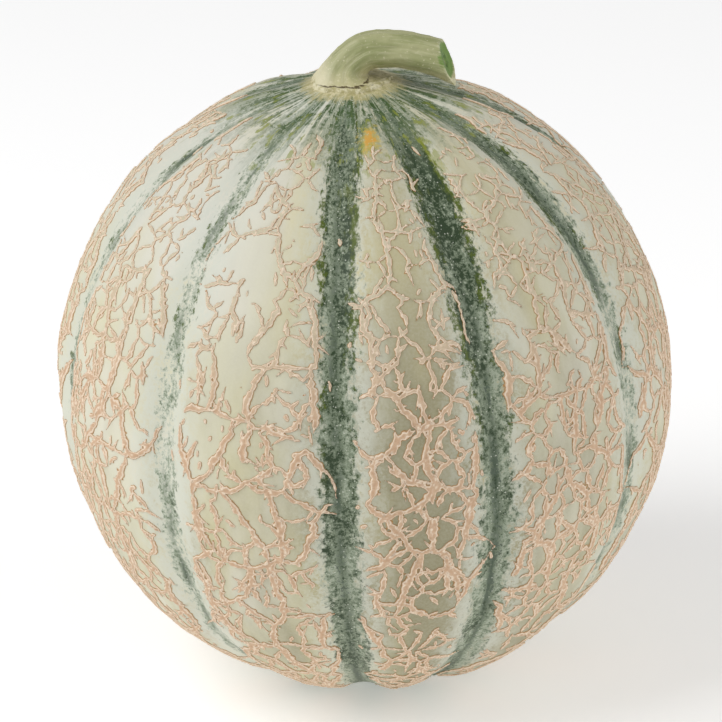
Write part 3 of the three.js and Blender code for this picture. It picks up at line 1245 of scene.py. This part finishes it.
@dataclass
class Net:
    """The raised net, as one sheet a rib. Each sheet dips into the skin between the strands."""

    pattern: NetPattern = NetPattern()
    spacing: float = 0.29 * MM
    bottom_latitude: float = -78
    top_latitude: float = 70
    reach: float = 1.3
    field_reach: float = 1.9
    least_width: float = 0.12 * MM
    longest_strand: float = 0.05
    end_fade: float = 1.5 * MM
    sink: float = 0.16 * MM
    skirt: float = 0.02 * MM
    flank: tuple[float, float] = (1.04, 0.66)
    plateau: float = 0.85
    lip: float = 0.2
    lip_place: float = 0.6
    lip_width: float = 0.2
    furrow: float = 0.42
    furrow_width: float = 0.24
    furrow_waves: Waves = Waves(length=3.2 * MM, key=51, count=20)
    furrow_levels: tuple[float, float] = (-0.3, 0.5)
    ragged: float = 0.24
    ragged_waves: Waves = Waves(length=1.0 * MM, key=50, count=24)

    def profile(self, across: Array, places: Array) -> Array:
        """Gives a strand's height across it, as a share of its full height.

        Args:
            across: The distance from its middle, as a share of its half width.
            places: Where on the fruit it is.

        Returns:
            The height: a flat top with lips and steep flanks, and a furrow that comes and goes.
        """
        furrow = self.furrow * ease(self.furrow_waves.at(places), *self.furrow_levels)
        lips = self.lip * bump(across - self.lip_place, self.lip_width)
        top = self.plateau + lips - furrow * bump(across, self.furrow_width)
        return ease(across, *self.flank) * top

    def nearest(self, longitudes: Array, latitudes: Array, strands: list[Strand]) -> tuple[Array, Array]:
        """Measures the nearest strand at each point of a grid.

        Args:
            longitudes: The grid's columns, in radians.
            latitudes: The grid's rows, in radians.
            strands: The net.

        Returns:
            The distance from the nearest strand as a share of its half width, and its height.
        """
        near = np.full((len(latitudes), len(longitudes)), FAR)
        tall = np.zeros_like(near)
        middle = (longitudes[0] + longitudes[-1]) / 2
        wide = longitudes[-1] - longitudes[0]
        column_step, row_step = wide / (len(longitudes) - 1), latitudes[1] - latitudes[0]
        for strand in strands:
            turn = np.arctan2(strand.course[:, 0], -strand.course[:, 1]) - middle
            turn = np.arctan2(np.sin(turn), np.cos(turn))
            if np.abs(turn).min() > wide / 2 + self.longest_strand:
                continue
            for east, north, half_width in zip(turn, np.arcsin(strand.course[:, 2]), strand.half_width):
                if half_width < self.least_width:
                    continue
                girth = RADIUS * math.cos(north)
                reach = half_width * self.field_reach
                columns = within(east + wide / 2, reach / girth, column_step, len(longitudes))
                rows = within(north - latitudes[0], reach / RADIUS, row_step, len(latitudes))
                if columns.start >= columns.stop or rows.start >= rows.stop:
                    continue
                across = (longitudes[columns] - middle - east) * girth
                along = (latitudes[rows] - north) * RADIUS
                share = np.hypot(across[None, :], along[:, None]) / half_width
                closer = share < near[rows, columns]
                near[rows, columns] = np.where(closer, share, near[rows, columns])
                tall[rows, columns] = np.where(closer, strand.height, tall[rows, columns])
        return near, tall

    def build_rib(self, rib: int, strands: list[Strand]) -> Mesh:
        """Models the net of one rib.

        Args:
            rib: The rib's number, from the suture of the same number.
            strands: The whole net.

        Returns:
            The rib's sheet, without the places where it would lie under the skin.
        """
        start = math.radians(FORM.sutures[rib])
        room = math.radians((FORM.sutures[(rib + 1) % len(FORM.sutures)] - FORM.sutures[rib]) % 360)
        bottom, top = math.radians(self.bottom_latitude), math.radians(self.top_latitude)
        columns = math.ceil(room * RADIUS / self.spacing)
        rows = math.ceil((top - bottom) * RADIUS / self.spacing)
        bm = bmesh.new()
        bmesh.ops.create_grid(bm, x_segments=columns, y_segments=rows, size=1)
        mesh = mesh_of(bm, f"net_{rib}")
        places = read_points(mesh)
        column = np.rint((places[:, 0] + 1) / 2 * columns).astype(int)
        row = np.rint((places[:, 1] + 1) / 2 * rows).astype(int)
        longitudes = np.linspace(start, start + room, columns + 1)
        latitudes = np.linspace(bottom, top, rows + 1)
        near, tall = self.nearest(longitudes, latitudes, strands)
        directions = direction(longitudes[column], latitudes[row])
        near, tall = near[row, column], tall[row, column]
        on_sphere = directions * RADIUS
        near = np.maximum(near + self.ragged * self.ragged_waves.at(on_sphere), 0)
        from_end = np.minimum(top - latitudes[row], latitudes[row] - bottom) * RADIUS
        near = near + self.reach * ease(from_end, self.end_fade, 0)
        height = np.where(near < self.reach, tall * self.profile(near, on_sphere) + self.skirt, -self.sink)
        write_points(mesh, FORM.place(directions, height))
        store_measures(mesh, directions)
        store(mesh, Measure.STRAND, near)
        return self.without_hidden(mesh, near < self.reach)

    def without_hidden(self, mesh: Mesh, shown: Array) -> Mesh:
        """Takes away the faces that lie under the skin.

        Args:
            mesh: A rib's sheet.
            shown: Whether each vertex stands above the skin.

        Returns:
            The same mesh.
        """
        bm = bmesh.new()
        bm.from_mesh(mesh)
        hidden = [face for face in bm.faces if not any(shown[vert.index] for vert in face.verts)]
        bmesh.ops.delete(bm, geom=hidden, context="FACES")
        bm.to_mesh(mesh)
        bm.free()
        return mesh

    def build(self) -> list[Mesh]:
        """Models the net of every rib.

        Returns:
            Its meshes.
        """
        strands = self.pattern.strands()
        log.info("%d strands", len(strands))
        return [self.build_rib(rib, strands) for rib in range(len(FORM.sutures))]

    def dress(self, meshes: Iterable[Mesh], material: bpy.types.Material) -> list[Object]:
        """Puts the net in the scene with its finish."""
        return [add_piece(mesh, "fruit", material) for mesh in meshes]


@dataclass
class Stem:
    """The bent stem with its broad foot and its slanting cut.

    Attributes:
        sections: The middle and the radius of each section, in millimetres from the top of the
            fruit, and how far the stem leans to the right there, in degrees.
        end_steps: How far each step of the dished cut narrows, and how far it moves outwards.
    """

    sections: tuple[tuple[float, ...], ...] = (
        (-0.5, 0, -1.7, 8.3, 0),
        (-0.5, 0, 0.1, 8, 0),
        (-0.9, 0, 1, 6.2, 10),
        (-0.9, 0, 2.7, 4.4, 26),
        (0.7, 0, 4.4, 4, 43),
        (3, 0.1, 5.7, 3.9, 66),
        (5.8, 0, 6.1, 3.9, 83),
        (8.8, -0.1, 6, 3.8, 92),
        (12, -0.6, 5.6, 3.8, 99),
        (15.3, -1.3, 4.9, 3.8, 105),
        (18.7, -2.1, 3.9, 3.9, 109),
        (23.2, -3.3, 2.2, 4, 111),
    )
    sides: int = 96
    rings: int = 200
    ridges: int = 5
    ridge_share: float = 0.05
    fine_ridges: int = 17
    fine_share: float = 0.012
    fine_twist: float = 9
    foot_ridges: int = 13
    foot_ridge_share: float = 0.022
    foot_share: float = 0.22
    length: float = 34
    radius: float = 3.9
    cut: tuple[float, float, float] = (19.3, -2.2, 3.9)
    cut_normal: tuple[float, float, float] = (0.93, -0.2, 0.32)
    end_steps: tuple[tuple[float, float], ...] = (
        (0.975, 0.12 * MM),
        (0.93, 0.06 * MM),
        (0.9, -0.3 * MM),
        (0.72, -0.25 * MM),
        (0.5, -0.1 * MM),
        (0.75, -0.5 * MM),
        (0.6, -0.3 * MM),
    )
    unevenness: float = 0.12 * MM
    uneven_waves: Waves = Waves(length=4 * MM, key=60, count=20)

    def cut_place(self) -> Vector:
        """Gives the middle of the cut, in metres."""
        return Vector(self.cut) * MM + Vector((0, 0, FORM.top_height))

    def along(self, shares: Array, columns: Array) -> Array:
        """Runs a smooth curve through values of the sections.

        Args:
            shares: Places along the stem, from 0 to 1.
            columns: The values of each section, one section a row.

        Returns:
            The values at each place.
        """
        last = len(columns) - 1
        step = np.clip(np.floor(shares * last).astype(int), 0, last - 1)
        t = (shares * last - step)[:, None]
        before = np.vstack([2 * columns[0] - columns[1], columns[:-1]])[step]
        here, there = columns[step], columns[step + 1]
        after = np.vstack([columns[1:], 2 * columns[-1] - columns[-2]])[step + 1]
        swing = 2 * here + (there - before) * t + (2 * before - 5 * here + 4 * there - after) * t**2
        return (swing + (3 * here - 3 * there + after - before) * t**3) / 2

    def sweep(self, mesh: Mesh) -> None:
        """Bends a tube along the sections.

        Args:
            mesh: A straight tube of radius 1 and height 1.
        """
        tube = read_points(mesh)
        shares = np.clip(tube[:, 2] + 0.5, 0, 1)
        angles = np.arctan2(tube[:, 1], tube[:, 0])
        table = np.array([(*sizes, math.radians(lean)) for *sizes, lean in self.sections])
        x, y, z, radius, tilt = self.along(shares, table).T
        ridged = 1 + self.ridge_share * np.cos(self.ridges * angles)
        ridged = ridged + self.fine_share * np.sin(self.fine_ridges * angles + self.fine_twist * shares)
        foot = self.foot_ridge_share * bump(shares, self.foot_share)
        ridged = ridged + foot * np.sin(self.foot_ridges * angles + np.sin(3 * angles))
        centres = np.stack([x * MM, y * MM, z * MM + FORM.top_height], axis=-1)
        outwards = [np.cos(angles) * np.cos(tilt), np.sin(angles), -np.cos(angles) * np.sin(tilt)]
        outwards = np.stack(outwards, axis=-1)
        uneven = self.uneven_waves.at(centres + outwards * 4 * MM)
        reach = radius * ridged * MM - np.abs(self.unevenness * uneven)
        write_points(mesh, centres + outwards * reach[:, None])
        flow = [np.cos(angles) * self.radius, np.sin(angles) * self.radius, shares * self.length]
        store(mesh, Measure.FLOW, np.stack(flow, axis=-1))

    def build(self) -> Mesh:
        """Models the stem: a tube bent along the sections, cut slantwise, its end dished.

        Returns:
            Its mesh.
        """
        bm = bmesh.new()
        bmesh.ops.create_cone(bm, segments=self.sides, radius1=1, radius2=1, depth=1, cap_ends=False)
        uprights = [edge for edge in bm.edges if abs(edge.verts[0].co.z - edge.verts[1].co.z) > 0.5]
        bmesh.ops.subdivide_edges(bm, edges=uprights, cuts=self.rings)
        mesh = mesh_of(bm, "stem_skin")
        self.sweep(mesh)
        bm = bmesh.new()
        bm.from_mesh(mesh)
        normal = Vector(self.cut_normal).normalized()
        everything = bm.verts[:] + bm.edges[:] + bm.faces[:]
        bmesh.ops.bisect_plane(
            bm, geom=everything, plane_co=self.cut_place(), plane_no=normal, clear_outer=True
        )
        rims = [edge for edge in bm.edges if edge.is_boundary]
        caps = bmesh.ops.holes_fill(bm, edges=rims, sides=0)["faces"]
        bmesh.ops.recalc_face_normals(bm, faces=bm.faces)
        end = max(caps, key=lambda face: face.calc_center_median().x)
        middle = Matrix.Translation(-end.calc_center_median())
        for share, rise in self.end_steps:
            end = bmesh.ops.extrude_discrete_faces(bm, faces=[end])["faces"][0]
            bmesh.ops.scale(bm, vec=(share, share, share), space=middle, verts=end.verts)
            bmesh.ops.translate(bm, vec=normal * rise, verts=end.verts)
        bmesh.ops.triangulate(bm, faces=[face for face in bm.faces if len(face.verts) > 4])
        for face in bm.faces:
            face.smooth = True
        bm.to_mesh(mesh)
        bm.free()
        return mesh

    def dress(self, mesh: Mesh) -> Object:
        """Puts the stem in the scene with its finish.

        Args:
            mesh: The stem's mesh.

        Returns:
            The piece.
        """
        heading = Vector(self.cut_normal).normalized()
        finish = StemFinish(self.cut_place() / MM, heading, FORM.top_height / MM)
        return add_piece(mesh, "stem", finish.material())


@dataclass(frozen=True)
class Studio:
    """The floor, the lights and the camera."""

    elevation: float = 23.0
    roll: float = -2.29
    distance: float = 777.5 * MM
    pixel: float = 0.2124 * MM
    centre: tuple[float, float] = (364.55, 376.5)
    frame_pixels: int = 722
    clip_start: float = 0.05
    ambient: float = 0.345
    light_size: float = 0.9
    key_place: tuple[float, float, float] = (-0.85, -0.3, 1.02)
    key_power: float = 10.6
    fill_place: tuple[float, float, float] = (1.0, -0.3, 0.5)
    fill_power: float = 3.8
    floor_size: float = 3
    floor_grey: float = 0.93
    floor_glow: float = 0.33
    floor_roughness: float = 0.95

    def camera(self) -> None:
        """Sets the camera where the photograph was taken from."""
        data = bpy.data.cameras.new("camera")
        camera = link("camera", data)
        target = Vector((0, 0, FORM.centre_height))
        pitch = math.radians(self.elevation)
        camera.location = target + Vector((0, -math.cos(pitch), math.sin(pitch))) * self.distance
        look = (target - camera.location).to_track_quat("-Z", "Y")
        look = look @ Quaternion((0, 0, 1), math.radians(self.roll))
        camera.rotation_euler = look.to_euler()
        data.lens = self.distance * data.sensor_width / (self.frame_pixels * self.pixel)
        data.shift_x = (self.frame_pixels / 2 - self.centre[0]) / self.frame_pixels
        data.shift_y = (self.centre[1] - self.frame_pixels / 2) / self.frame_pixels
        data.clip_start = self.clip_start
        bpy.context.scene.camera = camera

    def area(self, name: str, place: tuple[float, float, float], power: float) -> None:
        """Adds a soft square light that shines at the fruit.

        Args:
            name: The light's name.
            place: Where it hangs.
            power: Its power in watts.
        """
        data = bpy.data.lights.new(name, "AREA")
        data.size = self.light_size
        data.energy = power
        light = link(name, data)
        light.location = place
        aim = Vector((0, 0, FORM.centre_height)) - light.location
        light.rotation_euler = aim.to_track_quat("-Z", "Y").to_euler()

    def world(self) -> None:
        """Fills the room with an even soft light."""
        world = bpy.data.worlds.new("studio")
        world.use_nodes = True
        background = world.node_tree.nodes["Background"]
        background.inputs["Color"].default_value = (1.0, 1.0, 1.0, 1.0)
        background.inputs["Strength"].default_value = self.ambient
        bpy.context.scene.world = world

    def floor(self) -> None:
        """Lays a plain pale floor."""
        bm = bmesh.new()
        bmesh.ops.create_grid(bm, x_segments=1, y_segments=1, size=self.floor_size)
        mesh = mesh_of(bm, "floor")
        white = (*[self.floor_grey] * 3, 1.0)
        glow = {"Emission Color": white, "Emission Strength": self.floor_glow}
        surface = {"Base Color": white, "Roughness": self.floor_roughness} | glow
        mesh.materials.append(Tree("floor").finish(surface))
        link("floor", mesh)

    def build(self) -> None:
        """Sets up the studio."""
        bpy.context.scene.view_settings.view_transform = "Standard"
        self.camera()
        self.area("key", self.key_place, self.key_power)
        self.area("fill", self.fill_place, self.fill_power)
        self.world()
        self.floor()


def main() -> None:
    """Builds the melon and its studio."""
    logging.basicConfig(level=logging.INFO, format="%(name)s: %(message)s")
    Studio().build()
    surface = RindFinish().material()
    rind = Rind()
    rind.dress(rind.build(), surface)
    net = Net()
    net.dress(net.build(), surface)
    stem = Stem()
    stem.dress(stem.build())


if __name__ == "__main__":
    main()
